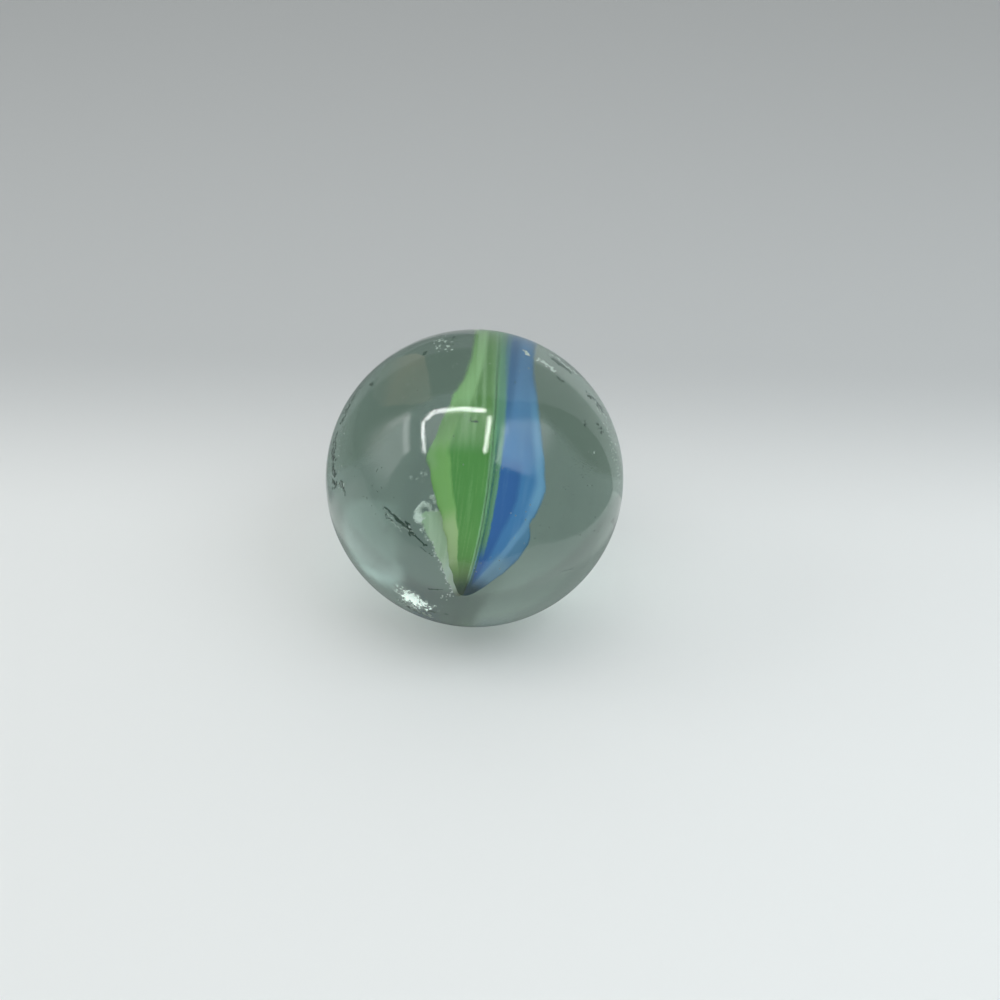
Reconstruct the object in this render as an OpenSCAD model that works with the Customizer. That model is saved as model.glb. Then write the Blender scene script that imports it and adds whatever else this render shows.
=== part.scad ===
// A cat's-eye marble: one ball of clear glass with three blades of coloured glass
// fused inside it. The blades hang along one line that runs from pole to pole.
//
// Millimetres, +Z up. The origin is the centre of the ball. The pole line lies near
// the Y axis and dips a little toward -Y, as the marble lies.
//
// Inside blade() the pole line is the Y axis: X is to the side and Z is up.

/* [Ball] */
// Diameter of the ball
ball_d = 16; // [12:0.5:25]
// Clear glass left between the ends of the blades and the skin of the ball
pole_skin = 0.15; // [0.1:0.05:0.8]

/* [Pole line] */
// Dip of the pole line below the level, toward -Y, in degrees
pole_dip = 9.5; // [-40:0.5:40]
// Turn of the pole line about the vertical, in degrees
pole_turn = 2.5; // [-40:0.5:40]
// How far the line where the blades meet bows to the side, half way along
seam_bow = 0.53; // [0:0.01:1]
// Film of clear glass between one blade and the next
blade_film = 0.06; // [0.04:0.01:0.3]
// Width that each blade keeps up to its blunt ends
tip_width = 0.3; // [0.1:0.05:0.5]

/* [Green blade] */
// Reach of the green blade from the seam, at its widest place
green_reach = 2.25; // [1:0.05:3]
// Widest place of the green blade, along the pole line from the middle
green_widest = 1.1; // [-2:0.1:2]
// Thickness of the green blade
green_thick = 0.7; // [0.3:0.05:0.9]
// Lean of the green blade below the level, in degrees
green_lean = 5; // [0:1:15]
// Place of the lengthwise crease, as a share of the green blade's reach
green_crease = 0.67; // [0.3:0.01:0.8]

/* [Blue blade] */
// Reach of the blue blade from the seam, at its widest place
blue_reach = 1.95; // [1:0.05:3]
// Widest place of the blue blade, along the pole line from the middle
blue_widest = 0.2; // [-2:0.1:2]
// Thickness of the blue blade
blue_thick = 0.65; // [0.3:0.05:0.9]
// Lean of the blue blade below the level, in degrees
blue_lean = 7; // [0:1:15]
// Place of the lengthwise crease, as a share of the blue blade's reach
blue_crease = 0.5; // [0.3:0.01:0.8]
// Reach of the flap that hangs from the outer edge of the blue blade
flap_reach = 0.35; // [0:0.05:0.9]
// Widest place of the flap, along the pole line from the middle
flap_widest = -3.8; // [-4.5:0.1:-2.5]
// Place where the flap ends, along the pole line from the middle
flap_end = -1.8; // [-2:0.1:0]

/* [White blade] */
// Reach of the white blade from the seam, at its torn end
white_reach = 2.2; // [1:0.05:3]
// Place of the torn end, along the pole line from the middle
white_end = 0.4; // [-2:0.1:3]
// Thickness of the white blade
white_thick = 0.4; // [0.3:0.05:0.6]
// Lean of the white blade below the level, in degrees
white_lean = 26; // [20:1:50]
// Step from the seam back to the root of the white blade
white_step = 0.12; // [0:0.02:0.4]
// Place of the lengthwise crease, as a share of the white blade's reach
white_crease = 0.5; // [0.3:0.01:0.8]

/* [Hidden] */

// Half the length of the pole line that the blades fill
half_line = ball_d / 2 - pole_skin;
// Round surfaces of the ball
ball_fn = 128;
// Rings along a blade, and points round each ring
ring_count = 52;
ring_points = 18;
// Slope of a blade past its crease, against the slope before it
crease_fall = tan(17);
// Slope of the flap, against the slope of the blade that it hangs from
flap_fall = tan(30);
// Width of the rounded crease, as a share of the reach
crease_soft = 0.12;
// Share of its root thickness that a blade loses at its outer edge
edge_thinning = 0.4;
// Turn of each blade about the seam, from the middle to a pole, in degrees
blade_twist = 4;
// Length over which a torn end closes
torn_close = 0.4;
// How far the lobes of a torn end stand out and back
torn_wave = 0.15;
// Lobes across a torn end
torn_lobes = 2.5;
// Outlines toward the front pole and the back pole: [roundness, taper]
green_front = [1, 0.95];
green_back = [1.5, 2.6];
blue_front = [1.7, 1.65];
blue_back = [1.1, 1];
white_front = [1.05, 1.15];
torn_back = [4, 0.5];
flap_front = [1, 0.6];
flap_back = [2.9, 0.9];
// How a blunt end and a half ellipse close
blunt = [12, 0.5];
half_ellipse = [2, 0.5];
// How round a blade is across at its root and at its outer edge: 1 is an ellipse,
// less is squarer
root_rounding = 0.3;
edge_rounding = 0.6;
// How late along a torn blade its lobes set in
lobes_late = 8;

// Reach or thickness left at x, which is 0 at the widest place and 1 at the end. Of
// form, the roundness keeps a blade full near its widest place and the taper closes
// it at its end.
function left_at(x, form) = pow(1 - pow(min(x, 1), form[0]), form[1]);

// Thickness share at s along the pole line: full in the middle, nothing at the poles
function swell(s) = left_at(abs(s) / half_line, half_ellipse);

// Sideways place of the seam at s
function seam_side(s) = seam_bow * (1 - pow(s / half_line, 2));

// What a blade or its flap reaches at s, from nothing at front and back to all at
// widest. Its tip width is part of the reach and closes only at the ends.
function reach_at(s, reach, widest, front, back, front_form, back_form, tip = 0) =
    let (
        past = s > widest,
        x = abs(s - widest) / abs((past ? back : front) - widest),
        form = past ? back_form : front_form
    )
    (reach - tip) * left_at(x, form) + tip * left_at(x, blunt);

// A straight line that bends past the place at, rounded over soft
function bend(x, at, soft) = (x - at + sqrt(pow(x - at, 2) + soft * soft)) / 2;

// Rings stand closer together toward both ends of a blade
function station(i, front, back) = (front + back) / 2 - cos(180 * i / ring_count) * (back - front) / 2;

// One point of a ring, at the angle a round it. The share e runs from 0 at the
// root to 1 at the outer edge; half_t is half the thickness there. The blade falls
// past its crease, and once more where its flap hangs from its edge.
function ring_point(a, reach, flap, thick, lean, crease) =
    let (
        e = (1 - cos(a)) / 2,
        rounding = root_rounding + (edge_rounding - root_rounding) * e,
        half_t = thick / 2 * (1 - edge_thinning * e) * sign(sin(a)) * pow(abs(sin(a)), rounding),
        out = (reach + flap) * e,
        soft = crease_soft * reach,
        drop = crease_fall * bend(out, crease * reach, soft) + flap_fall * bend(out, reach, soft) * sign(flap)
    )
    [out, half_t - drop - out * tan(lean)];

// A blade lofted along the pole line. side is +1 for a blade to the right of the
// seam and -1 for one to the left; step and sink set its root off the seam.
module blade(side, step, sink, reach, widest, front, back, front_form, back_form, thick, lean, crease,
        flap = 0, torn = false) {
    rings = [
        for (i = [1 : ring_count - 1])
            let (
                s = station(i, front, back),
                close = torn ? left_at(max(s - widest, 0) / (back - widest), half_ellipse) : 1,
                wave = torn ? torn_wave * pow((s - front) / (back - front), lobes_late) : 0,
                w = reach_at(s, reach, widest, front, back, front_form, back_form, tip_width),
                f = s < flap_end ? reach_at(s, flap, flap_widest, front, flap_end, flap_front, flap_back) : 0,
                t = thick * swell(s) * close,
                turn = lean + blade_twist * s / half_line
            )
            [for (j = [0 : ring_points - 1])
                let (p = ring_point(360 * j / ring_points, w, f, t, turn, crease))
                [seam_side(s) + side * (step + p[0]),
                    s + wave * cos(360 * torn_lobes * p[0] / reach),
                    p[1] - sink * swell(s)]]
    ];
    tips = [
        for (s = [front, back])
            [seam_side(s) + side * step, s + (torn && s == back ? torn_wave : 0), -sink * swell(s)]
    ];
    points = concat([tips[0]], [for (r = rings) each r], [tips[1]]);
    last = len(points) - 1;
    n = ring_points;
    walls = [
        for (i = [0 : len(rings) - 2], j = [0 : n - 1])
            let (k = (j + 1) % n, a = 1 + i * n, b = a + n)
            each [[a + j, b + j, b + k], [a + j, b + k, a + k]]
    ];
    fans = [
        for (j = [0 : n - 1])
            let (k = (j + 1) % n, b = last - n)
            each [[0, 1 + j, 1 + k], [last, b + k, b + j]]
    ];
    faces = concat(walls, fans);
    rotate([0, 0, -pole_turn])
        rotate([pole_dip, 0, 0])
            polyhedron(points, side > 0 ? faces : [for (f = faces) [f[2], f[1], f[0]]], convexity = 4);
}

// The green blade: to the left of the seam, from pole to pole
module green_vane() {
    color([0.36, 0.62, 0.30])
        blade(side = -1, step = 0, sink = 0, reach = green_reach, widest = green_widest,
            front = -half_line, back = half_line, front_form = green_front, back_form = green_back,
            thick = green_thick, lean = green_lean, crease = green_crease);
}

// The blue blade: to the right of the seam, a film of clear glass away
module blue_vane() {
    color([0.24, 0.44, 0.76])
        blade(side = 1, step = blade_film, sink = 0, reach = blue_reach, widest = blue_widest,
            front = -half_line, back = half_line, front_form = blue_front, back_form = blue_back,
            thick = blue_thick, lean = blue_lean, crease = blue_crease, flap = flap_reach);
}

// The white blade: under the green one, from the front pole to a torn end
module white_vane() {
    color([0.80, 0.84, 0.78])
        blade(side = -1, step = white_step, sink = (green_thick + white_thick) / 2 + blade_film,
            reach = white_reach, widest = white_end - torn_close,
            front = -half_line + blade_film, back = white_end, front_form = white_front, back_form = torn_back,
            thick = white_thick, lean = white_lean, crease = white_crease, torn = true);
}

// The clear glass: the ball, with the room that the blades fill taken out of it
module clear_glass() {
    color([0.66, 0.76, 0.72, 0.35])
        difference() {
            sphere(d = ball_d, $fn = ball_fn);
            green_vane();
            blue_vane();
            white_vane();
        }
}

clear_glass();
green_vane();
blue_vane();
white_vane();
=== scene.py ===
"""A cat's-eye marble: a worn ball of clear glass with three blades of coloured
glass fused inside it, on a plain pale floor.

The ball's skin and the blades are surfaces worked out with numpy. Lengths are
named in millimetres and angles in degrees. MM turns a length into metres where
it enters a mesh, a light or the camera.
"""
import math

import bpy
import numpy as np
from mathutils import Matrix, Vector


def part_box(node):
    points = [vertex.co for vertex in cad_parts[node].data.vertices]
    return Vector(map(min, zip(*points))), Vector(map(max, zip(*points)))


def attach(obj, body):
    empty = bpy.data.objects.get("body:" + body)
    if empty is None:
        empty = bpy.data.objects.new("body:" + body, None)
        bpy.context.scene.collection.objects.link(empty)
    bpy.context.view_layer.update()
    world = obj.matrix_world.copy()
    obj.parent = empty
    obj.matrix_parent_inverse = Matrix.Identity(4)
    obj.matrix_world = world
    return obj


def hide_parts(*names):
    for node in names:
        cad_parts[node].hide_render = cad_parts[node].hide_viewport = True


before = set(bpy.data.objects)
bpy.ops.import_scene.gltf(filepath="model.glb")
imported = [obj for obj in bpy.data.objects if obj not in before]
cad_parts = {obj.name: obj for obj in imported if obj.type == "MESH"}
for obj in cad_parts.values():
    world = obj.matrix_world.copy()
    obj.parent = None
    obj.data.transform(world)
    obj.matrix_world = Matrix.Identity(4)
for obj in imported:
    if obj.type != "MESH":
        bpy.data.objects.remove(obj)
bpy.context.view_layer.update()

MM = 0.001

# The ball, from the frame
ball_low, ball_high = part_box("clear_glass")
BALL_R = (ball_high.z - ball_low.z) / 2 / MM

# The pole line of the blades, as the solids have it
POLE_SKIN = 0.15
POLE_DIP = 9.5
POLE_TURN = 2.5
SEAM_BOW = 0.53
HALF_LINE = BALL_R - POLE_SKIN

# The film of clear glass between two blades: all of it under the green blade, and
# what can be seen of it at the seam
BLADE_FILM = 0.06
SEAM_FILM = 0.01

# The form that all blades share
CREASE_SLOPE = math.tan(math.radians(17))
CREASE_SOFT = 0.12
EDGE_THINNING = 0.4
BLADE_TWIST = 4
TIP_WIDTH = 0.3
BLUNT = (12, 0.5)
HALF_ELLIPSE = (2, 0.5)
ROOT_ROUNDING = 0.3
EDGE_ROUNDING = 0.6

# The flap on the outer edge of the blue blade
FLAP = dict(
    reach=0.35, widest=-3.8, front=-HALF_LINE, back=-1.8, front_form=(1, 0.6),
    back_form=(2.9, 0.9), tip=0,
)
FLAP_SLOPE = math.tan(math.radians(30))

# Each blade: side of the seam, step and sink of its root, reach, widest place,
# ends, (roundness, taper) toward each end, width of its blunt ends, thickness, lean,
# crease, and how far its edge wanders
GREEN = dict(
    side=-1, step=0, sink=0, reach=2.25, widest=1.1, front=-HALF_LINE, back=HALF_LINE,
    front_form=(1, 0.95), back_form=(1.5, 2.6), tip=TIP_WIDTH, thick=0.7, lean=5, crease=0.67,
    flap=0, torn=False, wander=0.04,
)
BLUE = dict(
    side=1, step=SEAM_FILM, sink=0, reach=1.95, widest=0.2, front=-HALF_LINE, back=HALF_LINE,
    front_form=(1.7, 1.65), back_form=(1.1, 1), tip=TIP_WIDTH, thick=0.65, lean=7, crease=0.5,
    flap=1, torn=False, wander=0.02,
)
WHITE = dict(
    side=-1, step=0.12, sink=0.55 + BLADE_FILM, reach=2.2, widest=-0.25,
    front=-HALF_LINE + BLADE_FILM, back=0.15, front_form=(1.05, 1.15), back_form=(4, 0.5),
    tip=TIP_WIDTH, thick=0.4, lean=26, crease=0.5, flap=0, torn=True, wander=0.03,
)
# The torn end of the white blade: how far its lobes stand out and back, how many
# there are, and how late along the blade they set in
TORN_WAVE = 0.2
TORN_LOBES = 2
LOBES_LATE = 8

# Chips in the skin: azimuth from the front, elevation, radius and depth
CHIPS = [
    (-60, 17, 0.24, 0.03),
    (-118, 40, 0.30, 0.04),
    (170, -8, 0.28, 0.04),
    (121, -22, 0.30, 0.04),
]

RNG = np.random.default_rng(16)


# ---------------------------------------------------------------- mesh helpers

def mesh_object(name, points, faces):
    """A smooth mesh object from points in millimetres and a list of faces."""
    mesh = bpy.data.meshes.new(name)
    mesh.from_pydata((points * MM).tolist(), [], faces)
    mesh.update()
    mesh.polygons.foreach_set("use_smooth", np.ones(len(mesh.polygons), bool))
    obj = bpy.data.objects.new(name, mesh)
    bpy.context.scene.collection.objects.link(obj)
    return obj


def add_value(obj, name, values):
    """Gives each vertex a number that the materials read."""
    layer = obj.data.attributes.new(name, "FLOAT", "POINT")
    layer.data.foreach_set("value", values.astype(np.float32))


def direction(azimuth, elevation):
    """Unit vector at an azimuth from the front (-Y) toward +X and an elevation."""
    az, el = np.radians(azimuth), np.radians(elevation)
    return np.array([np.sin(az) * np.cos(el), -np.cos(az) * np.cos(el), np.sin(el)])


# ------------------------------------------------------------------- the ball

def cube_sphere(cells):
    """Unit directions over a sphere and the quads that join them.

    Each side of a cube carries a grid of angles from -45 to 45 degrees. A grid
    point is the tangent of its two angles on that side, brought to length one.
    Points that two sides share are found by their whole-number place on the cube.
    """
    step = np.arange(cells + 1)
    i, j = np.meshgrid(step, step, indexing="ij")
    keys, quads = [], []
    for axis in range(3):
        for end in (0, cells):
            key = np.zeros(i.shape + (3,), int)
            key[..., axis] = end
            key[..., (axis + 1) % 3] = i
            key[..., (axis + 2) % 3] = j
            number = np.arange(i.size).reshape(i.shape) + len(keys) * i.size
            quad = np.stack([number[:-1, :-1], number[1:, :-1], number[1:, 1:], number[:-1, 1:]], -1)
            quads.append((quad if end else quad[..., ::-1]).reshape(-1, 4))
            keys.append(key.reshape(-1, 3))
    whole, back = np.unique(np.concatenate(keys), axis=0, return_inverse=True)
    flat = np.tan((whole / cells - 0.5) * (math.pi / 2))
    return flat / np.linalg.norm(flat, axis=1, keepdims=True), back.ravel()[np.concatenate(quads)]


def ball_skin():
    """The ball's outer skin: a sphere with chips.

    A chip takes a shallow bowl out of the radius: its depth times one less the
    square of the distance from its middle as a share of its radius.
    """
    point, quads = cube_sphere(124)
    radius = np.full(len(point), BALL_R)
    chipped = np.zeros(len(point))
    for azimuth, elevation, chip_r, depth in CHIPS:
        away = np.linalg.norm(point - direction(azimuth, elevation), axis=1) * BALL_R / chip_r
        bowl = np.clip(1 - away ** 2, 0, 1)
        radius -= depth * bowl
        chipped = np.maximum(chipped, bowl ** 0.5)
    obj = mesh_object("ball_skin", point * radius[:, None], quads.tolist())
    add_value(obj, "chipped", chipped)
    return obj


# ----------------------------------------------------------------- the blades

def left_at(x, form):
    """What is left of a reach or thickness at x, from all at 0 to nothing at 1.

    One less x to the power of the form's roundness, all to the power of its taper.
    """
    roundness, taper = form
    return (1 - np.minimum(x, 1) ** roundness) ** taper


def reach_at(s, form):
    """Reach at s: all of it at the widest place, less toward each end.

    The tip width is part of the reach and closes only at the ends.
    """
    widest = form["widest"]
    past = s > widest
    x = np.abs(s - widest) / np.where(past, form["back"] - widest, widest - form["front"])
    tapered = np.where(past, left_at(x, form["back_form"]), left_at(x, form["front_form"]))
    return (form["reach"] - form["tip"]) * tapered + form["tip"] * left_at(x, BLUNT)


def swell(s):
    """Thickness share along the pole line: a half ellipse from pole to pole."""
    return left_at(np.abs(s) / HALF_LINE, HALF_ELLIPSE)


def seam_side(s):
    """Sideways place of the seam: a parabola that is furthest out in the middle."""
    return SEAM_BOW * (1 - (s / HALF_LINE) ** 2)


def bend(x, at, soft):
    """A straight line that bends past the place at, rounded over soft."""
    return (x - at + np.sqrt((x - at) ** 2 + soft ** 2)) / 2


def waves(x, count, seed):
    """A smooth random curve: the mean of count sine waves, each finer than the last."""
    rng = np.random.default_rng(seed)
    pitch = 1.7 ** np.arange(count) * rng.uniform(0.9, 1.1, count)
    start = rng.uniform(0, 2 * np.pi, count)
    return np.sin(x[..., None] * pitch + start).mean(-1) * 2


def to_marble(points):
    """Turns points from the blades' own frame, pole line along Y, into the marble's."""
    turn = Matrix.Rotation(math.radians(-POLE_TURN), 3, "Z")
    dip = Matrix.Rotation(math.radians(POLE_DIP), 3, "X")
    return points @ np.array(turn @ dip).T


def blade_place(form, s, e, thickness_side):
    """Places on a blade at s along the pole line and the share e of its reach.

    The middle of the blade drops by its lean, by its fall past the crease and by
    the fall of its flap. Half the thickness, thinner toward the edge and rounded
    by thickness_side, from -1 under to 1 on top, goes above or below the middle.
    """
    plain_reach = reach_at(s, form)
    reach = plain_reach + form["wander"] * waves(s, 4, 3) * np.clip(plain_reach, 0, 1)
    hanging = (s < FLAP["back"]) & (form["flap"] > 0)
    flap = np.where(hanging, reach_at(np.minimum(s, FLAP["back"]), FLAP), 0)
    out = (reach + flap) * e
    soft = CREASE_SOFT * reach
    fall = CREASE_SLOPE * bend(out, form["crease"] * reach, soft)
    fall = fall + FLAP_SLOPE * bend(out, reach, soft) * hanging
    lean = np.radians(form["lean"] + BLADE_TWIST * s / HALF_LINE)
    thick = form["thick"] * swell(s)
    back_part = np.maximum(s - form["widest"], 0) / (form["back"] - form["widest"])
    if form["torn"]:
        thick = thick * left_at(back_part, HALF_ELLIPSE)
        ragged = TORN_WAVE * ((s - form["front"]) / (form["back"] - form["front"])) ** LOBES_LATE
        s = s + ragged * np.cos(2 * np.pi * TORN_LOBES * out / form["reach"])
    half_t = thick / 2 * (1 - EDGE_THINNING * e) * thickness_side
    side = seam_side(s) + form["side"] * (form["step"] + out)
    up = half_t - fall - out * np.tan(lean) - form["sink"] * swell(s)
    return np.stack([side, s, up], -1), out, out - reach


def blade(name, form, rings=300, around=72):
    """A blade of coloured glass: rings along the pole line, closed by a tip at each end.

    Rings stand closer together toward the ends, by a cosine. Round each ring the
    share of the reach goes from 0 at the root to 1 at the outer edge and back.
    """
    i = np.arange(1, rings)
    front, back = form["front"], form["back"]
    s = (front + back) / 2 - np.cos(np.pi * i / rings) * (back - front) / 2
    a = 2 * np.pi * np.arange(around) / around
    e = np.broadcast_to((1 - np.cos(a)) / 2, (rings - 1, around))
    squareness = ROOT_ROUNDING + (EDGE_ROUNDING - ROOT_ROUNDING) * e
    rounding = np.sign(np.sin(a)) * np.abs(np.sin(a)) ** squareness
    wide_s = np.broadcast_to(s[:, None], e.shape)
    body, out, past_edge = blade_place(form, wide_s, e, rounding)
    ends = np.array([front, back])
    tips, tips_out, tips_past = blade_place(form, ends, np.zeros(2), np.zeros(2))
    points = np.concatenate([tips[:1], body.reshape(-1, 3), tips[1:]])

    n, last = around, len(points) - 1
    j = np.arange(n)
    k = (j + 1) % n
    base = 1 + n * np.arange(rings - 2)[:, None]
    walls = np.stack([base + j, base + n + j, base + n + k, base + k], -1).reshape(-1, 4)
    first_fan = np.stack([np.zeros(n, int), 1 + j, 1 + k], -1)
    last_fan = np.stack([np.full(n, last), last - n + k, last - n + j], -1)
    fans = np.concatenate([first_fan, last_fan])
    faces = walls[:, ::form["side"]].tolist() + fans[:, ::form["side"]].tolist()

    def per_vertex(grid, at_tips):
        return np.concatenate([at_tips[:1], grid.ravel(), at_tips[1:]])

    values = dict(
        share=per_vertex(e, np.zeros(2)), out=per_vertex(out, tips_out), along=points[:, 1],
        past_edge=per_vertex(past_edge, tips_past), froth=np.zeros(len(points)),
    )
    return to_marble(points), faces, values


# Froth at the torn end of the white blade and by the tips: place along the pole line,
# how far out from the seam, spread, number of lumps, smallest and largest radius
FROTH = [
    (0.02, 2.24, 0.09, 14, 0.05, 0.10),
    (0.64, 1.84, 0.06, 8, 0.05, 0.09),
    (0.08, 1.80, 0.13, 12, 0.03, 0.07),
    (0.36, 1.72, 0.05, 5, 0.04, 0.07),
    (1.95, 2.25, 0.16, 9, 0.02, 0.04),
    (-6.60, 0.95, 0.25, 12, 0.02, 0.05),
]
# The curl of froth at the outer corner of the torn end: an ellipse, its middle, its
# half axes, its slant, and from where to where round it the lumps stand, in radians
FROTH_RING = dict(
    along=0.16, out=2.08, out_radius=0.24, radius=0.33, slant=0.16, begin=1.0, end=5.4,
    lumps=34, small=0.04, large=0.095,
)
# Fine froth along the outer edge of the white blade
FROTH_EDGE = dict(front=-6.4, back=-0.2, lumps=70, small=0.015, large=0.045)


def lumps(middles, axes):
    """Lumps of glass: spheres drawn out along the three half axes of each."""
    ball, quads = cube_sphere(4)
    points = middles[:, None] + ball @ axes
    faces = quads + len(ball) * np.arange(len(middles))[:, None, None]
    return points.reshape(-1, 3), faces.reshape(-1, 4).tolist()


def froth(form):
    """Lumps of froth in the white blade's own surface, carried on past its torn end.

    Each cluster scatters its lumps round its middle by a normal spread. The ring
    sets them round a slanting ellipse that is open on its inner side.
    """
    clusters = [
        (middle + RNG.normal(0, spread * 1.4, count), reach + RNG.normal(0, spread, count),
         RNG.uniform(small, large, count))
        for middle, reach, spread, count, small, large in FROTH
    ]
    ring, edge = FROTH_RING, FROTH_EDGE
    turn = np.linspace(ring["begin"], ring["end"], ring["lumps"]) + RNG.normal(0, 0.1, ring["lumps"])
    clusters.append((
        ring["along"] - ring["radius"] * np.sin(turn) - ring["slant"] * np.cos(turn),
        ring["out"] - ring["out_radius"] * np.cos(turn),
        RNG.uniform(ring["small"], ring["large"], ring["lumps"]),
    ))
    beside = np.linspace(edge["front"], edge["back"], edge["lumps"])
    clusters.append((
        beside, reach_at(beside, form) + RNG.normal(0.01, 0.03, edge["lumps"]),
        RNG.uniform(edge["small"], edge["large"], edge["lumps"]),
    ))
    along, out, radius = (np.concatenate(part) for part in zip(*clusters))
    whole = dict(form, back=HALF_LINE, torn=False)
    middles, _, _ = blade_place(whole, along, out / reach_at(along, whole), np.zeros(len(along)))
    axes = np.eye(3) * (radius[:, None] * RNG.uniform(0.75, 1.1, middles.shape))[:, None]
    points, faces = lumps(middles + RNG.normal(0, 0.03, middles.shape), axes)
    values = {key: np.zeros(len(points)) for key in ("share", "out", "along", "past_edge")}
    return to_marble(points), faces, dict(values, froth=np.ones(len(points)))


# Strands that fray from the outer edge of the green blade, where it narrows
STRANDS = 22
STRAND_FRONT, STRAND_BACK = 2.2, 6.0


def strands(form, rings=24, around=6):
    """Thin strands that leave the blade's edge and run on along the pole line.

    A strand starts just inside the edge. Its distance from the seam then falls by
    most of what the edge itself falls, so that it comes out a little past the edge,
    and its radius swells and closes by a half ellipse.
    """
    start = np.linspace(STRAND_FRONT, STRAND_BACK, STRANDS) + RNG.normal(0, 0.08, STRANDS)
    length = RNG.uniform(0.5, 1.3, STRANDS)
    lag = RNG.uniform(0.62, 0.95, STRANDS)
    size = RNG.uniform(0.020, 0.050, STRANDS)
    u = np.linspace(-1, 1, rings)
    s = start[:, None] + length[:, None] * (u + 1) / 2
    at_start = reach_at(start, form)[:, None]
    out = at_start - 0.04 - (at_start - reach_at(s, form)) * lag[:, None]
    middle, _, _ = blade_place(form, s, out / reach_at(s, form), np.full(s.shape, 0.4))
    a = 2 * np.pi * np.arange(around) / around
    radius = size[:, None] * np.sqrt(np.maximum(1 - u ** 2, 0.01))
    ring = np.stack([np.cos(a), np.zeros(around), np.sin(a)], -1)
    points = middle[:, :, None] + radius[..., None, None] * ring
    j = np.arange(around)
    k = (j + 1) % around
    base = around * np.arange(rings - 1)[:, None]
    walls = np.stack([base + j, base + k, base + around + k, base + around + j], -1).reshape(-1, 4)
    caps = [list(range(around))[::-1], [around * (rings - 1) + v for v in range(around)]]
    one = walls.tolist() + caps
    faces = [[v + n * rings * around for v in face] for n in range(STRANDS) for face in one]
    points = points.reshape(-1, 3)
    out_all = np.repeat(out.ravel(), around)
    return to_marble(points), faces, dict(
        share=np.ones(len(points)), out=out_all, along=points[:, 1],
        past_edge=np.zeros(len(points)), froth=np.zeros(len(points)),
    )


def blade_object(name, form, extra=None):
    """A blade, with the froth or the strands that belong to it in the same mesh."""
    points, faces, values = blade(name, form)
    if extra:
        more, more_faces, more_values = extra
        faces += [[v + len(points) for v in face] for face in more_faces]
        values = {key: np.concatenate([v, more_values[key]]) for key, v in values.items()}
        points = np.concatenate([points, more])
    obj = mesh_object(name, points, faces)
    for key, v in values.items():
        add_value(obj, key, v)
    return obj


# ----------------------------------------------------------- wear in the skin

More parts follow.
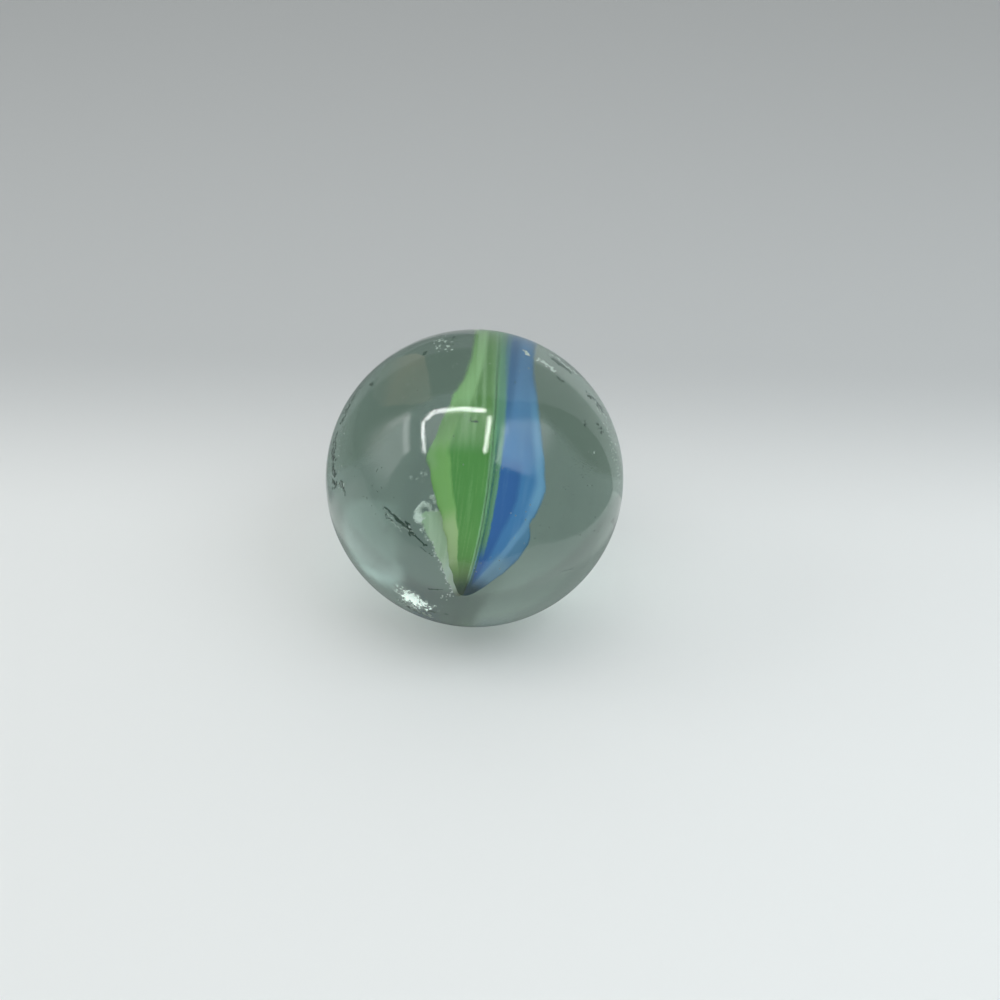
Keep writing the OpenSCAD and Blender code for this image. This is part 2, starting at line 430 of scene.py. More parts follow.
# Scratches, bruises and pits, each a row of flat lumps of crushed glass under the skin:
# azimuth and elevation of both ends, how far the lumps stray, how many there are, how
# wide they are, how much wider all of it is across the row, and the lumps' shade from 0
# for dark to 1 for white
WEAR = [
    (-34, 21, -30, 19.5, 0.020, 12, 0.055, 1, 0),
    (-30, 19.5, -25, 17.3, 0.035, 16, 0.070, 1, 0),
    (-34, 19.5, -31, 17, 0.080, 12, 0.050, 1, 0),
    (-25, 18, -21, 15, 0.080, 20, 0.070, 1, 0),
    (-24, 17, -21, 15, 0.070, 12, 0.035, 1, 0.9),
    (-21, 15, -16, 12, 0.025, 16, 0.055, 1, 0),
    (-18, 11, -13, 8, 0.030, 16, 0.025, 1, 0.1),
    (-33, 18.5, -26, 15, 0.080, 22, 0.030, 1, 0.9),
    (-31, 21, -26, 19, 0.060, 10, 0.025, 1, 0.7),
    (122, 53, 110, 43, 0.034, 80, 0.056, 3, 0.05),
    (111, 59, 103, 51, 0.034, 56, 0.048, 3, 0.05),
    (120, 57, 106, 47, 0.050, 18, 0.045, 3, 0.9),
    (86, 59, 85, 56, 0.020, 10, 0.045, 2, 0),
    (102, 66, 91, 60, 0.030, 24, 0.050, 3, 1),
    (93, 44, 92, 40, 0.045, 16, 0.040, 3, 0),
    (92, 39, 93, 34, 0.050, 24, 0.040, 3, 0),
    (93, 38, 78, 24, 0.090, 26, 0.034, 3, 0.8),
    (78, 24, 74, 8, 0.090, 18, 0.032, 3, 0.7),
    (69, 42, 69, 41, 0.050, 9, 0.042, 2, 0),
    (78, 35, 76, 34, 0.060, 12, 0.045, 2, 0),
    (63, 32, 63, 32, 0.030, 3, 0.045, 1, 1),
    (66, 1, 70, -6, 0.035, 24, 0.042, 3, 0),
    (34, -5, 41, -7, 0.015, 14, 0.022, 1, 0),
    (-15, -8, -10, -7, 0.015, 12, 0.040, 1, 0),
    (-10, -24, -9, -24, 0.010, 3, 0.035, 2, 0),
    (-18, -24, -14, -24, 0.020, 9, 0.040, 2, 0),
    # The white row below the glint is partly scuffs and partly a painted highlight that carries the glint's
    # streaks.
    (-30, -23, -17, -31, 0.030, 34, 0.045, 3, 1),
    (-28, -26, -19, -31, 0.030, 18, 0.040, 3, 0.1),
    (-83, 25, -64, 13, 0.060, 90, 0.044, 3, 0.05),
    (-80, 30, -60, 14, 0.100, 16, 0.032, 3, 0.6),
    (-61, 18, -57, 16, 0.070, 22, 0.070, 1, 0),
    (-59, 18, -59, 18, 0.030, 4, 0.060, 1, 1),
    (-98, 40, -84, 30, 0.060, 54, 0.042, 3, 0.05),
    (-91, 48, -88, 49, 0.040, 12, 0.045, 2, 0),
    (-102, 40, -130, 52, 0.060, 50, 0.038, 4, 0.1),
    (-103, 70, -100, 71, 0.050, 12, 0.042, 2, 0),
    (-134, 68, -106, 80, 0.120, 26, 0.045, 2, 1),
    (-150, 72, -120, 78, 0.100, 24, 0.040, 2, 0.1),
    (-2, 59, -1, 58, 0.020, 3, 0.045, 1, 0),
    (1, 58, 2, 58, 0.020, 4, 0.055, 1, 0),
    (47, 70, 47, 70, 0.010, 2, 0.040, 1, 0),
    (113, 70, 103, 70, 0.040, 12, 0.045, 2, 0.9),
    (-52, 6, -48, 2, 0.060, 10, 0.030, 1, 0.5),
    (150, 20, 172, 34, 0.030, 40, 0.050, 1, 0),
    (-150, 5, -140, 28, 0.050, 36, 0.040, 1, 0.1),
    (165, -12, 178, -4, 0.150, 30, 0.040, 1, 0.8),
    (20, -48, 60, -40, 0.030, 30, 0.035, 1, 0),
]
# Depth of the lumps under the skin, half their thickness, and how far they turn from
# their row, in radians
WEAR_DEPTH = 0.06
WEAR_THIN = 0.035
WEAR_TURN = 0.4
# Keeps the two ends of a row apart where they are given the same
NEVER_EQUAL = 1e-4


def skin_wear():
    """The rows of WEAR in one mesh, with each lump's shade.

    A row's middle line is the great circle between its ends. A lump lies flat under
    the skin, drawn out along the row but turned from it by a normal spread, and
    strays from it by another.
    """
    depth_r = BALL_R - WEAR_DEPTH
    middles, axes, shades = [], [], []
    for az_a, el_a, az_b, el_b, stray, count, width, broad, shade in WEAR:
        start, end = direction(az_a, el_a), direction(az_b, el_b) + NEVER_EQUAL
        share = np.linspace(0, 1, count)[:, None]
        line = start * (1 - share) + end * share
        ahead = np.broadcast_to(end - start, line.shape)
        outward = line / np.linalg.norm(line, axis=1, keepdims=True)
        across = np.cross(outward, ahead)
        across /= np.linalg.norm(across, axis=1, keepdims=True)
        along = np.cross(across, outward)
        sideways = across * broad * RNG.normal(0, stray, (count, 1))
        place = outward * depth_r + sideways + along * RNG.normal(0, stray, (count, 1))
        place *= depth_r / np.linalg.norm(place, axis=1, keepdims=True)
        turn = RNG.normal(0, WEAR_TURN, (count, 1))
        long_way = along * np.cos(turn) + across * np.sin(turn)
        short_way = (across * np.cos(turn) - along * np.sin(turn)) * broad
        middles.append(place)
        axes.append(np.stack([
            long_way * width * RNG.uniform(0.6, 2.2, (count, 1)),
            short_way * width * RNG.uniform(0.3, 1.0, (count, 1)),
            outward * WEAR_THIN,
        ], 1))
        shades.append(np.clip(shade + RNG.uniform(-0.15, 0.15, count), 0, 1))
    points, faces = lumps(np.concatenate(middles), np.concatenate(axes))
    obj = mesh_object("skin_wear", points, faces)
    shades = np.concatenate(shades)
    add_value(obj, "shade", np.repeat(shades, len(points) // len(shades)))
    return obj


# ------------------------------------------------------------- shader helpers

def connect(tree, node, inputs):
    """Links or sets a node's inputs, by name or number."""
    for name, value in inputs.items():
        if isinstance(value, bpy.types.NodeSocket):
            tree.links.new(value, node.inputs[name])
        else:
            node.inputs[name].default_value = value


def add(tree, kind, inputs=None, **settings):
    """Adds a shader node, with its inputs and its settings."""
    made = tree.nodes.new("ShaderNode" + kind)
    for name, value in settings.items():
        setattr(made, name, value)
    connect(tree, made, inputs or {})
    return made


def calc(tree, operation, *values):
    return add(tree, "Math", dict(enumerate(values)), operation=operation).outputs[0]


def product(tree, *values):
    result = values[0]
    for value in values[1:]:
        result = calc(tree, "MULTIPLY", result, value)
    return result


def rise(tree, value, low, high):
    """Goes smoothly from 0 at low to 1 at high."""
    return add(tree, "MapRange", {"Value": value, "From Min": low, "From Max": high},
               interpolation_type="SMOOTHSTEP").outputs["Result"]


def fall(tree, value, low, high):
    """Goes smoothly from 1 at low to 0 at high."""
    return calc(tree, "SUBTRACT", 1.0, rise(tree, value, low, high))


def band(tree, value, middle, half_width, soft):
    """1 within half_width of the middle, and 0 past that by soft."""
    away = calc(tree, "ABSOLUTE", calc(tree, "SUBTRACT", value, middle))
    return fall(tree, away, half_width, half_width + soft)


def paint(tree, base, layers):
    """A colour with layers laid over it in turn, each a mask and its colour."""
    color = (*base, 1)
    for mask, layer in layers:
        color = add(tree, "Mix", {0: mask, 6: color, 7: (*layer, 1)}, data_type="RGBA").outputs[2]
    return color


def distance(tree, x, y):
    return calc(tree, "SQRT", calc(tree, "ADD", product(tree, x, x), product(tree, y, y)))


def wobble(tree, pattern, amount):
    """A pattern that runs from 0 to 1, moved to lie round 0, times an amount."""
    return product(tree, calc(tree, "SUBTRACT", pattern, 0.5), amount)


def new_material(name):
    mat = bpy.data.materials.new(name)
    mat.use_nodes = True
    return mat, mat.node_tree, mat.node_tree.nodes["Principled BSDF"]


def new_group(name, inputs, outputs):
    """A node group with named inputs and outputs: {name: (kind, default)} and {name: kind}."""
    group = bpy.data.node_groups.new(name, "ShaderNodeTree")
    for key, (kind, default) in inputs.items():
        socket = group.interface.new_socket(key, in_out="INPUT", socket_type="NodeSocket" + kind)
        if default is not None:
            socket.default_value = default
    for key, kind in outputs.items():
        group.interface.new_socket(key, in_out="OUTPUT", socket_type="NodeSocket" + kind)
    return group, group.nodes.new("NodeGroupInput").outputs, group.nodes.new("NodeGroupOutput").inputs


def streak_group():
    """Streaks drawn out along the pole line: noise that is stretched along it."""
    group, given, gives = new_group(
        "streaks",
        {"Out": ("Float", 0.0), "Along": ("Float", 0.0), "Fineness": ("Float", 6.0),
         "Length": ("Float", 2.0), "Seed": ("Float", 0.0)},
        {"Value": "Float"},
    )
    place = add(group, "CombineXYZ", {
        0: calc(group, "MULTIPLY", given["Out"], given["Fineness"]),
        1: calc(group, "DIVIDE", given["Along"], given["Length"]),
        2: given["Seed"],
    }).outputs[0]
    streaks = add(group, "TexNoise", {"Vector": place, "Scale": 1.0, "Detail": 3.0, "Roughness": 0.55})
    group.links.new(streaks.outputs[0], gives["Value"])
    return group


def speck_group():
    """Specks: small dots, each in its own cell, in a share of the cells."""
    group, given, gives = new_group(
        "specks",
        {"Place": ("Vector", None), "Cells": ("Float", 20.0), "Size": ("Float", 0.2),
         "Share": ("Float", 0.3)},
        {"Mask": "Float"},
    )
    cells = add(group, "TexVoronoi", {"Vector": given["Place"], "Scale": given["Cells"]})
    chance = add(group, "SeparateColor", {0: cells.outputs["Color"]}).outputs[0]
    kept = calc(group, "LESS_THAN", chance, given["Share"])
    dot = fall(group, calc(group, "DIVIDE", cells.outputs["Distance"], given["Size"]), 0.6, 1.0)
    group.links.new(product(group, dot, kept), gives["Mask"])
    return group


STREAKS = streak_group()
SPECKS = speck_group()


def placed(tree, group, **inputs):
    """A node group in the tree. An underscore in an input's name stands for a space."""
    named = {key.replace("_", " "): value for key, value in inputs.items()}
    made = tree.nodes.new("ShaderNodeGroup")
    made.node_tree = group
    connect(tree, made, named)
    return made.outputs[0]


def attribute(tree, name):
    return add(tree, "Attribute", attribute_name=name).outputs["Fac"]


def object_place(tree):
    return add(tree, "TexCoord").outputs["Object"]


def noise(tree, place, scale, detail=2.0):
    return add(tree, "TexNoise", {"Vector": place, "Scale": scale, "Detail": detail}).outputs[0]


# ------------------------------------------------------------------ materials

def clear_glass_material():
    """Pale grey-green glass, with dark dull pits and frosted chips on its skin."""
    mat, tree, shader = new_material("clear_glass")
    place = add(tree, "VectorMath", {0: object_place(tree)}, operation="NORMALIZE").outputs[0]
    fine = noise(tree, place, 120.0, 1.0)
    patches = rise(tree, noise(tree, place, 2.2, 1.0), 0.48, 0.62)
    pits = product(tree, placed(tree, SPECKS, Place=place, Cells=34.0, Size=0.18, Share=0.4), patches)
    tree.links.new(paint(tree, (1, 1, 1), [(pits, (0.05, 0.08, 0.06))]), shader.inputs["Base Color"])
    rough = calc(tree, "MAXIMUM", product(tree, pits, 0.5), product(tree, attribute(tree, "chipped"), 0.5))
    tree.links.new(rough, shader.inputs["Roughness"])
    bump = add(tree, "Bump", {"Height": fine, "Strength": 0.35, "Distance": 0.0044 * MM}).outputs[0]
    tree.links.new(bump, shader.inputs["Normal"])
    shader.inputs["IOR"].default_value = 1.51
    shader.inputs["Transmission Weight"].default_value = 1
    tint = add(tree, "VolumeAbsorption", {"Color": (0.60, 0.745, 0.68, 1), "Density": 75.0})
    tree.links.new(tint.outputs["Volume"], tree.nodes["Material Output"].inputs["Volume"])
    return mat


def crushed_glass_material():
    """Crushed glass in the scratches and bruises, from dark to white."""
    mat, tree, shader = new_material("crushed_glass")
    shader.inputs["Roughness"].default_value = 0.7
    shade = [(attribute(tree, "shade"), (0.70, 0.80, 0.74))]
    tree.links.new(paint(tree, (0.055, 0.105, 0.080), shade), shader.inputs["Base Color"])
    return mat


# What each point of a blade carries: its share of the reach, its distance from the
# seam, its place along the pole line, how far it is past the edge, and 1 in froth
BLADE_VALUES = ("share", "out", "along", "past_edge", "froth")


def blade_material(name):
    """A matt material, since a blade has no skin of its own, and the blade's values."""
    mat, tree, shader = new_material(name)
    shader.inputs["Roughness"].default_value = 0.6
    shader.inputs["Specular IOR Level"].default_value = 0
    return mat, tree, shader, {key: attribute(tree, key) for key in BLADE_VALUES}


def green_glass_material():
    """Green glass with streaks. Painted light and shade: a darker core, the outer facet and the part toward
    the back painted lighter as if lit, and painted highlights on the pale lip at the seam and on the
    shoulder toward the back.
    """
    mat, tree, shader, at = blade_material("green_glass")
    streak = placed(tree, STREAKS, Out=at["out"], Along=at["along"], Fineness=5.0, Length=5.0, Seed=2.0)
    fine = placed(tree, STREAKS, Out=at["out"], Along=at["along"], Fineness=14.0, Length=4.0, Seed=9.0)
    # The part toward the back is painted lighter, as painted light.
    lit_upper = rise(tree, at["along"], 0.8, 3.2)
    edge = calc(tree, "ADD", at["share"], wobble(tree, streak, 0.12))
    # The outer facet is painted lighter than the core, as painted light on a face turned toward the lamps.
    lit_outer = rise(tree, edge, 0.64, 0.70)
    knee = product(tree, rise(tree, edge, 0.80, 0.95), band(tree, at["along"], 1.6, 0.6, 0.8))
    # Painted highlight: a pale patch on the outer half toward the back.
    shoulder_highlight = product(tree, rise(tree, at["along"], 2.6, 3.6), rise(tree, edge, 0.40, 0.60), 0.85)
    tan_patch = product(tree, lit_outer, band(tree, at["along"], -3.6, 1.0, 1.2))
    # Painted highlight: the rounded lip at the seam catching the light.
    lip_highlight = product(tree, fall(tree, at["out"], 0.03, 0.09), rise(tree, at["along"], -6.8, -5.6), 0.8)
    layers = [
        (fall(tree, at["along"], -3.6, -1.6), (0.150, 0.345, 0.110)),
        (lit_outer, (0.246, 0.462, 0.160)),
        (knee, (0.290, 0.480, 0.220)),
        (product(tree, lit_upper, 0.85), (0.190, 0.345, 0.140)),
        (product(tree, lit_upper, rise(tree, streak, 0.46, 0.60)), (0.300, 0.470, 0.250)),
        (product(tree, lit_upper, rise(tree, fine, 0.52, 0.62), 0.5), (0.160, 0.310, 0.120)),
        (shoulder_highlight, (0.470, 0.710, 0.370)),
        (product(tree, rise(tree, fine, 0.50, 0.66), 0.30), (0.270, 0.470, 0.195)),
        (tan_patch, (0.410, 0.540, 0.280)),
        (product(tree, fall(tree, at["along"], -5.8, -4.4), 0.6), (0.150, 0.240, 0.080)),
        (fall(tree, at["along"], -7.2, -5.5), (0.042, 0.100, 0.050)),
        (lip_highlight, (0.390, 0.610, 0.400)),
    ]
    tree.links.new(paint(tree, (0.118, 0.302, 0.091), layers), shader.inputs["Base Color"])
    return mat


def blue_glass_material():
    """Blue glass, teal at the seam, with painted light and shade: a dark core in painted shade, lighter
    outer and upper parts as if lit, a darker flap in painted shade, painted highlights along the fold and
    on the lip at the seam, a painted shine near the front, and a painted shadow line under the green
    blade's lip.
    """
    mat, tree, shader, at = blade_material("blue_glass")
    streak = placed(tree, STREAKS, Out=at["out"], Along=at["along"], Fineness=4.0, Length=5.0, Seed=5.0)
    mottle = placed(tree, STREAKS, Out=at["out"], Along=at["along"], Fineness=22.0, Length=0.5, Seed=3.0)
    out = calc(tree, "ADD", at["out"], wobble(tree, streak, 0.20))
    seam = calc(tree, "ADD", at["out"], wobble(tree, mottle, 0.05))
    # The part toward the back is painted lighter, as painted light.
    lit_upper = rise(tree, at["along"], 1.5, 3.5)
    front = rise(tree, at["along"], -5.0, -3.4)
    low = fall(tree, at["along"], -1.8, -0.9)

    # The dark core, painted shade on the face turned from the light, narrows toward the front pole
    past_front = calc(tree, "MAXIMUM", calc(tree, "SUBTRACT", -1.0, at["along"]), 0.0)
    core_out = calc(tree, "ADD", out, product(tree, past_front, 0.155))
    shaded_core = product(tree, fall(tree, core_out, 1.00, 1.22), fall(tree, at["along"], 0.0, 1.2))
    # Painted light: the outer right part painted lighter, as a face turned toward the light.
    right = product(tree, rise(tree, at["share"], 0.76, 0.92), band(tree, at["along"], 1.2, 1.8, 1.5))
    # Painted shade on the flap, which hangs below the fold, and a painted highlight along the fold.
    flap = rise(tree, at["past_edge"], 0.0, 0.06)
    fold_highlight = product(tree, band(tree, at["past_edge"], -0.06, 0.04, 0.12), low, 0.9)
    # Painted highlight: a pale shine on the outer half near the front.
    shine = product(tree, rise(tree, at["share"], 0.5, 0.7), band(tree, at["along"], -5.3, 0.6, 0.8), 0.8)

    # The teal band at the seam narrows toward the back pole
    narrow = product(tree, rise(tree, at["along"], 2.0, 5.5), 0.14)
    teal = fall(tree, calc(tree, "ADD", seam, narrow), 0.33, 0.38)
    # Painted shadow: a dark line under the green blade's lip.
    lip_shadow_line = product(tree, band(tree, seam, 0.15, 0.015, 0.03), fall(tree, at["along"], 1.0, 2.2))
    layers = [
        (shaded_core, (0.056, 0.152, 0.415)),
        (lit_upper, (0.162, 0.325, 0.605)),
        (product(tree, lit_upper, fall(tree, out, 0.45, 0.70)), (0.097, 0.211, 0.430)),
        (product(tree, rise(tree, streak, 0.5, 0.7), 0.3), (0.172, 0.350, 0.600)),
        (right, (0.217, 0.425, 0.690)),
        (product(tree, flap, low), (0.137, 0.298, 0.500)),
        (fold_highlight, (0.208, 0.395, 0.630)),
        (product(tree, teal, front), (0.130, 0.275, 0.155)),
        (product(tree, teal, rise(tree, at["along"], 0.0, 1.5)), (0.180, 0.355, 0.255)),
        (product(tree, band(tree, seam, 0.30, 0.02, 0.04), front, 0.5), (0.200, 0.400, 0.310)),
        (lip_shadow_line, (0.065, 0.170, 0.150)),
        # Painted highlight: the pale lip at the seam.
        (fall(tree, at["out"], 0.07, 0.10), (0.240, 0.450, 0.270)),
        (shine, (0.205, 0.365, 0.510)),
        (fall(tree, at["along"], -7.2, -5.6), (0.032, 0.085, 0.105)),
    ]
    tree.links.new(paint(tree, (0.089, 0.246, 0.530), layers), shader.inputs["Base Color"])
    return mat


def white_glass_material():
    """Milky glass: grey-green, olive beside the green blade, white where it froths."""
    mat, tree, shader, at = blade_material("white_glass")
    streak = placed(tree, STREAKS, Out=at["out"], Along=at["along"], Fineness=6.0, Length=3.0, Seed=7.0)
    share = calc(tree, "ADD", at["share"], wobble(tree, streak, 0.12))
    layers = [
        (fall(tree, at["along"], -4.2, -2.8), (0.625, 0.735, 0.650)),
        (product(tree, rise(tree, streak, 0.42, 0.64), 0.6), (0.620, 0.720, 0.575)),
        (fall(tree, share, 0.60, 0.82), (0.380, 0.460, 0.280)),
        (product(tree, fall(tree, at["along"], -7.2, -6.0), 0.7), (0.250, 0.320, 0.230)),
        (at["froth"], (0.865, 0.895, 0.875)),
    ]
    tree.links.new(paint(tree, (0.480, 0.610, 0.445), layers), shader.inputs["Base Color"])
    return mat


# -------------------------------------------------------------------- assembly

def dress(obj, node, material):
    """Gives a piece its material and its slot, and puts it in place of its solid."""
    obj.data.materials.append(material)
    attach(obj, "root")
    if node:
        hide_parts(node)


dress(ball_skin(), "clear_glass", clear_glass_material())
dress(skin_wear(), None, crushed_glass_material())
dress(blade_object("green_blade", GREEN, strands(GREEN)), "green_vane", green_glass_material())
dress(blade_object("blue_blade", BLUE), "blue_vane", blue_glass_material())
dress(blade_object("white_blade", WHITE, froth(WHITE)), "white_vane", white_glass_material())


# ----------------------------------------------------------------------- stage

# The pale floor: plain, and painted darker toward the back, as painted shade where less light falls
FLOOR_REACH = 1000
FLOOR_COLOR = (0.85, 0.87, 0.86)
FAR_SHADE_COLOR = (0.58, 0.60, 0.60)

# The floor in the gloss of the ball: close round it, where it is painted dark as the ball's shadow, to the
# left, and behind on the left, where it is painted dark as the ball's shadow too. It is a pale board there
# that ends to the right and in front, on a dark table.
CONTACT_SHADE_COLOR = (0.36, 0.38, 0.37)
SIDE_COLOR = (0.62, 0.64, 0.63)
CORNER_SHADE_COLOR = (0.24, 0.26, 0.26)
TABLE_COLOR = (0.06, 0.06, 0.06)
BOARD_RIGHT = 23
BOARD_FRONT = -26

# The floor through the ball, in painted shade for the ball's shadow behind it: plain, to the right, and a
# strip just before the backdrop
FLOOR_THROUGH_SHADE = (0.45, 0.47, 0.46)
RIGHT_THROUGH_SHADE = (0.29, 0.34, 0.31)
STRIP_THROUGH_SHADE = (0.22, 0.28, 0.24)

# A painted glint: a small glowing patch on the floor, standing in for the ball's bright caustic there, that
# shows only in the ball's gloss, at its lower left edge: its middle, half axes, radiance and the grain that
# breaks it up
GLINT_MIDDLE = (-5.2, -7.1)
GLINT_HALF = (1.9, 1.35)
GLINT_COLOR = (0.85, 1.0, 0.92)
GLINT_RADIANCE = 6
GLINT_GRAIN = 2.6
GLINT_RAGGED = 3.2

# The backdrop, seen only through the ball: how far back it stands and reaches, and its colours from the
# bottom up, painted as shade: darkest in a band low down, a painted shadow of the ball on it, and lighter
# higher up, as if out of that shadow
BACKDROP_Y = 10
BACKDROP_LEFT = -35
BACKDROP_TOP = 50
BACKDROP_COLOR = (0.41, 0.47, 0.445)
LOW_SHADE_COLOR = (0.35, 0.375, 0.365)
HIGH_LIT_COLOR = (0.56, 0.60, 0.59)

# Two cards that show only in the gloss. The left one is painted dark below a line that climbs to the left
# by its slope, a painted shadow of the ball, and brightens above it as painted light on a lit wall.
CARD_TOP = 60
RIGHT_COLOR = (0.66, 0.70, 0.69)
LEFT_OUTLINE = [
    (-5.9, 8.6), (-7.2, 5.3), (-14.8, 8.0), (-22.9, 15.0), (-30.5, 36), (-30.4, CARD_TOP), (-9, 18.2),
    (-5.9, 10.8),
]
LEFT_SLOPE = 0.506
LEFT_SHADE_COLOR = (0.24, 0.23, 0.20)
LEFT_COLOR = (0.74, 0.53, 0.33)
LEFT_LIT_COLOR = (0.90, 0.78, 0.58)


def flat_piece(name, corners, color):
    """A plain flat piece of the stage, from its corners in millimetres."""
    obj = mesh_object(name, np.array(corners, float), [tuple(range(len(corners)))])
    mat, tree, shader = new_material(name)
    shader.inputs["Base Color"].default_value = (*color, 1)
    shader.inputs["Roughness"].default_value = 0.8
    obj.data.materials.append(mat)
    return obj, tree, shader


def only_seen_by(obj, transmission, glossy):
    """Takes a piece of the stage out of plain view, light and shadow."""
    obj.visible_camera = False
    obj.visible_diffuse = False
    obj.visible_shadow = False
    obj.visible_transmission = transmission
    obj.visible_glossy = glossy


def upright(y, left, bottom, right, top):
    """Corners of an upright rectangle that faces the front."""
    return [(left, y, bottom), (right, y, bottom), (right, y, top), (left, y, top)]


def place_on(tree):
    """A place on a piece of the stage in millimetres, whole and as x, y and z."""
    whole = add(tree, "VectorMath", {0: object_place(tree), "Scale": 1 / MM}, operation="SCALE").outputs[0]
    return whole, add(tree, "SeparateXYZ", {0: whole}).outputs


def floor():
    """The floor, with its other looks in the ball's gloss and through the ball: painted shade for the
    ball's shadow in both, a painted glint in the gloss, and painted shade toward the back.

    A ray that leaves the ball counts as glossy too, so the gloss is what is glossy
    and not transmitted.
    """
    reach = FLOOR_REACH
    square = ((-reach, -reach), (reach, -reach), (reach, reach), (-reach, reach))
    _, tree, shader = flat_piece("floor", [(x, y, -BALL_R) for x, y in square], FLOOR_COLOR)
    place, (x, y, _) = place_on(tree)
    path = add(tree, "LightPath").outputs
    through = path["Is Transmission Ray"]
    gloss = product(tree, path["Is Glossy Ray"], calc(tree, "SUBTRACT", 1.0, through))
    past_board = calc(tree, "MAXIMUM", calc(tree, "GREATER_THAN", x, BOARD_RIGHT),
                      calc(tree, "LESS_THAN", y, BOARD_FRONT))
    layers = [
        # Painted shade toward the back, and in the gloss and through the ball where the ball's shadow
        # falls.
        (rise(tree, y, 4, 26), FAR_SHADE_COLOR),
        (product(tree, gloss, fall(tree, distance(tree, x, y), 10.5, 13.5)), CONTACT_SHADE_COLOR),
        (product(tree, gloss, fall(tree, x, -24, -14)), SIDE_COLOR),
        (product(tree, gloss, fall(tree, x, -16, -12), rise(tree, y, 4, 7)), CORNER_SHADE_COLOR),
        (product(tree, gloss, past_board), TABLE_COLOR),
        (through, FLOOR_THROUGH_SHADE),
        (product(tree, through, rise(tree, x, -0.7, -0.1), fall(tree, y, 8, 10)), RIGHT_THROUGH_SHADE),
        (product(tree, through, rise(tree, y, 7.8, 8.2), fall(tree, y, 10, 10.5)), STRIP_THROUGH_SHADE),
    ]
    tree.links.new(paint(tree, FLOOR_COLOR, layers), shader.inputs["Base Color"])

    # Painted glint: a glowing patch on the floor that only the gloss sees.
    across, ahead = (
        calc(tree, "DIVIDE", calc(tree, "SUBTRACT", value, middle), half)
        for value, middle, half in zip((x, y), GLINT_MIDDLE, GLINT_HALF)
    )
    ragged = wobble(tree, noise(tree, place, GLINT_GRAIN, 3.0), GLINT_RAGGED)
    glint = fall(tree, calc(tree, "ADD", distance(tree, across, ahead), ragged), 0.5, 1.0)
    color = paint(tree, (0, 0, 0), [(product(tree, gloss, glint), GLINT_COLOR)])
    tree.links.new(color, shader.inputs["Emission Color"])
    shader.inputs["Emission Strength"].default_value = GLINT_RADIANCE


def backdrop():
    corners = upright(BACKDROP_Y, BACKDROP_LEFT, -BALL_R, BOARD_RIGHT, BACKDROP_TOP)
    obj, tree, shader = flat_piece("backdrop_card", corners, BACKDROP_COLOR)
    only_seen_by(obj, True, False)
    _, (_, _, z) = place_on(tree)
    # Painted shade: a dark band low down where the ball's shadow falls, lighter higher up.
    layers = [(rise(tree, z, -7.0, -6.6), LOW_SHADE_COLOR), (rise(tree, z, -4.6, -2.0), HIGH_LIT_COLOR)]
    tree.links.new(paint(tree, BACKDROP_COLOR, layers), shader.inputs["Base Color"])


def side_cards():
    corners = upright(BALL_R, 0, -BALL_R, BOARD_RIGHT, CARD_TOP)
    right, _, _ = flat_piece("right_card", corners, RIGHT_COLOR)
    only_seen_by(right, False, True)

    left, tree, shader = flat_piece("left_card", [(x, BALL_R, z) for x, z in LEFT_OUTLINE], LEFT_COLOR)
    only_seen_by(left, False, True)
    _, (x, _, z) = place_on(tree)
    # Painted shadow below the line and painted light above it.
    above = calc(tree, "ADD", z, product(tree, x, LEFT_SLOPE))
    layers = [(rise(tree, above, 2, 7), LEFT_COLOR), (rise(tree, above, 9, 24), LEFT_LIT_COLOR)]
    tree.links.new(paint(tree, LEFT_SHADE_COLOR, layers), shader.inputs["Base Color"])


floor()
backdrop()
side_cards()


# ---------------------------------------------------------------------- lights

# Height of the lights overhead
LIGHT_Z = 100

# Four narrow strips that make a bracket in the ball's gloss: radiance, width, how
# coarse and how deep the grain is that breaks up their edges
STRIP_RADIANCE = 29
STRIP_WIDTH = 7
STRIP_GRAIN = 0.42
STRIP_RAGGED = 10.0

# The wide window. Its front edge falls to the right and its back edge rises. A
# grainy streak stands along its left edge.
WINDOW_FALL = 0.3
WINDOW_RISE = 0.4
STREAK_X = -56
STREAK_SHARE = 2.2

# The side window stands upright to the left. Its x runs to the front, and its top
# falls that way by a slope.
SIDE_SLANT = 0.4


def area_light(name, middle, x_side, y_side, radiance, color=(1, 1, 1), pattern=None):
    """A flat light from its middle and its two sides, by its radiance.

    It shines against the cross product of its sides. pattern takes the light's
    nodes and the millimetres from its middle along each side, and gives the share
    of the radiance there.
    """
    middle, x_side, y_side = Vector(middle) * MM, Vector(x_side) * MM, Vector(y_side) * MM
    data = bpy.data.lights.new(name, "AREA")
    data.shape = "RECTANGLE"
    data.size, data.size_y = x_side.length, y_side.length
    data.energy = radiance * data.size * data.size_y * math.pi
    data.color = color
    if pattern:
        data.use_nodes = True
        tree = data.node_tree
        share = add(tree, "SeparateXYZ", {0: add(tree, "NewGeometry").outputs["Parametric"]}).outputs
        x = product(tree, calc(tree, "SUBTRACT", share[0], 0.5), data.size / MM)
        y = product(tree, calc(tree, "SUBTRACT", share[1], 0.5), data.size_y / MM)
        tree.links.new(pattern(tree, x, y), tree.nodes["Emission"].inputs["Strength"])
    obj = bpy.data.objects.new(name, data)
    x, y = x_side.normalized(), y_side.normalized()
    z = x.cross(y)
    obj.matrix_world = Matrix((
        (x.x, y.x, z.x, middle.x), (x.y, y.y, z.y, middle.y), (x.z, y.z, z.z, middle.z), (0, 0, 0, 1),
    ))
    bpy.context.scene.collection.objects.link(obj)
    return obj


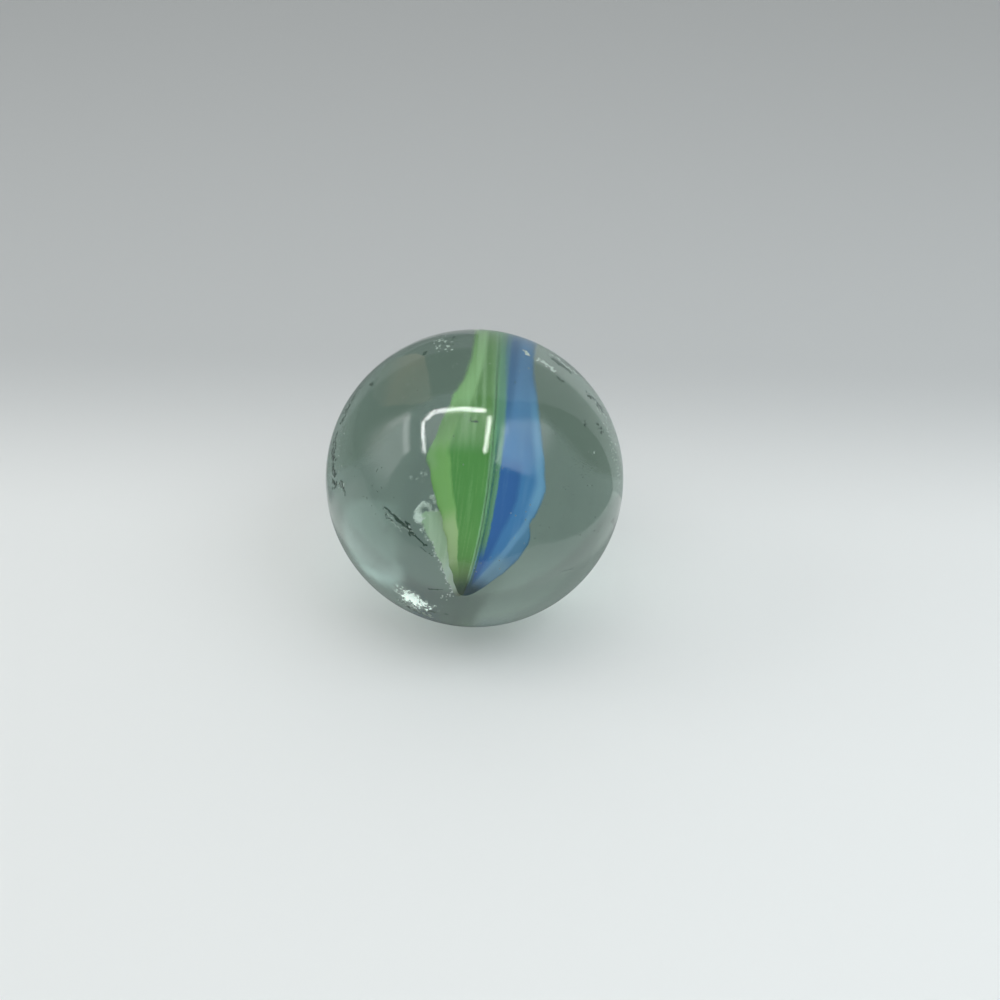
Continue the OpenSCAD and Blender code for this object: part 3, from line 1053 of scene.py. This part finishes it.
def ragged_pattern(tree, x, y):
    """A bright strip that breaks up into grains at its edges and its ends."""
    place = add(tree, "CombineXYZ", {0: x, 1: y}).outputs[0]
    ragged = wobble(tree, noise(tree, place, STRIP_GRAIN, 1.0), STRIP_RAGGED)
    across = calc(tree, "ADD", calc(tree, "ABSOLUTE", y), ragged)
    specks = rise(tree, noise(tree, place, 0.8, 1.0), 0.36, 0.56)
    light = calc(tree, "ADD", product(tree, specks, 0.65), 0.35)
    return product(tree, fall(tree, across, 1.8, 2.8), light)


def strip_light(name, start, end):
    """A narrow bright light overhead, from start to end, that shines straight down."""
    start, end = Vector((*start, LIGHT_Z)), Vector((*end, LIGHT_Z))
    side = (end - start).normalized()
    across = Vector((-side.y, side.x, 0)) * STRIP_WIDTH
    strip = area_light(name, (start + end) / 2, end - start, across, STRIP_RADIANCE, pattern=ragged_pattern)
    strip.visible_diffuse = False


def window_pattern(tree, x, y):
    """A wide soft window: bright along its left edge, fading to the right."""
    sill = calc(tree, "ADD", y, product(tree, x, WINDOW_FALL))
    top = calc(tree, "SUBTRACT", y, product(tree, x, WINDOW_RISE))
    inside = product(tree, rise(tree, x, -62, -54), fall(tree, x, -5, 75), rise(tree, sill, -42, -34),
                     fall(tree, top, 70, 86))
    place = add(tree, "CombineXYZ", {0: x, 1: y}).outputs[0]
    grain = rise(tree, noise(tree, place, 0.4, 2.0), 0.42, 0.58)
    ends = product(tree, rise(tree, y, -22, -10), fall(tree, y, 40, 56))
    streak = product(tree, band(tree, x, STREAK_X, 2, 5), ends, grain, STREAK_SHARE)
    return calc(tree, "ADD", inside, streak)


def side_pattern(tree, x, y):
    """A soft side window: a bright bar along its top and its far side, fading down."""
    top = calc(tree, "ADD", y, product(tree, x, SIDE_SLANT))
    bar = product(tree, band(tree, top, 40, 4, 12), rise(tree, x, -38, -22), 1.6)
    upright = product(tree, band(tree, x, -27, 3, 10), rise(tree, y, -30, 10), fall(tree, top, 36, 52), 0.9)
    plain = product(tree, rise(tree, y, -88, -30), fall(tree, top, 46, 60), rise(tree, x, -58, -10))
    return product(tree, calc(tree, "ADD", calc(tree, "ADD", bar, upright), plain), fall(tree, x, 48, 58))


def down_pattern(tree, x, y):
    """A soft light that fades toward the front."""
    return rise(tree, y, -32, -2)


strip_light("bar", (-49, 0.3), (11.5, -4.5))
strip_light("bar_corner", (-65, -5.5), (-48, 0.6))
strip_light("left_arm", (-68.5, -8), (-83, -62))
strip_light("right_arm", (17.4, -11.5), (16.1, -65.5))
area_light("bracket_panel", (-25, -40, LIGHT_Z + 2), (88, 0, 0), (0, 76, 0), 1.2, pattern=down_pattern)
area_light("window", (95, -68, LIGHT_Z + 2), (140, 0, 0), (0, 164, 0), 2.0, (0.88, 0.95, 1), window_pattern)
area_light("side_window", (-140, -5, 90), (0, -120, 0), (0, 0, 190), 1.4, pattern=side_pattern)

# The room round it all: what lights the floor, what the gloss shows, and what is
# seen past the floor and through the ball
ROOM_COLOR = (0.55, 0.56, 0.56)
GLOSS_COLOR = (0.06, 0.07, 0.07)
SEEN_COLOR = (0.80, 0.84, 0.83)
world = bpy.data.worlds.new("room")
bpy.context.scene.world = world
world.use_nodes = True
tree = world.node_tree
path = add(tree, "LightPath")
seen = calc(tree, "MAXIMUM", path.outputs["Is Camera Ray"], path.outputs["Is Transmission Ray"])
room = paint(tree, ROOM_COLOR, [(path.outputs["Is Glossy Ray"], GLOSS_COLOR), (seen, SEEN_COLOR)])
tree.links.new(room, tree.nodes["Background"].inputs["Color"])

# The camera, in front of and above the ball: its place, its pitch below the level
# and its small roll
CAMERA_PLACE = (1.392, -51.930, 40.451)
CAMERA_PITCH = 38.9
CAMERA_ROLL = 1.41
data = bpy.data.cameras.new("view")
data.lens = 43.78
data.sensor_width = 36
data.clip_start = 1 * MM
data.clip_end = 5
camera = bpy.data.objects.new("view", data)
camera.matrix_world = (
    Matrix.Translation(Vector(CAMERA_PLACE) * MM)
    @ Matrix.Rotation(math.radians(90 - CAMERA_PITCH), 4, "X")
    @ Matrix.Rotation(math.radians(CAMERA_ROLL), 4, "Z")
)
bpy.context.scene.collection.objects.link(camera)
bpy.context.scene.camera = camera
bpy.context.scene.view_settings.view_transform = "Standard"
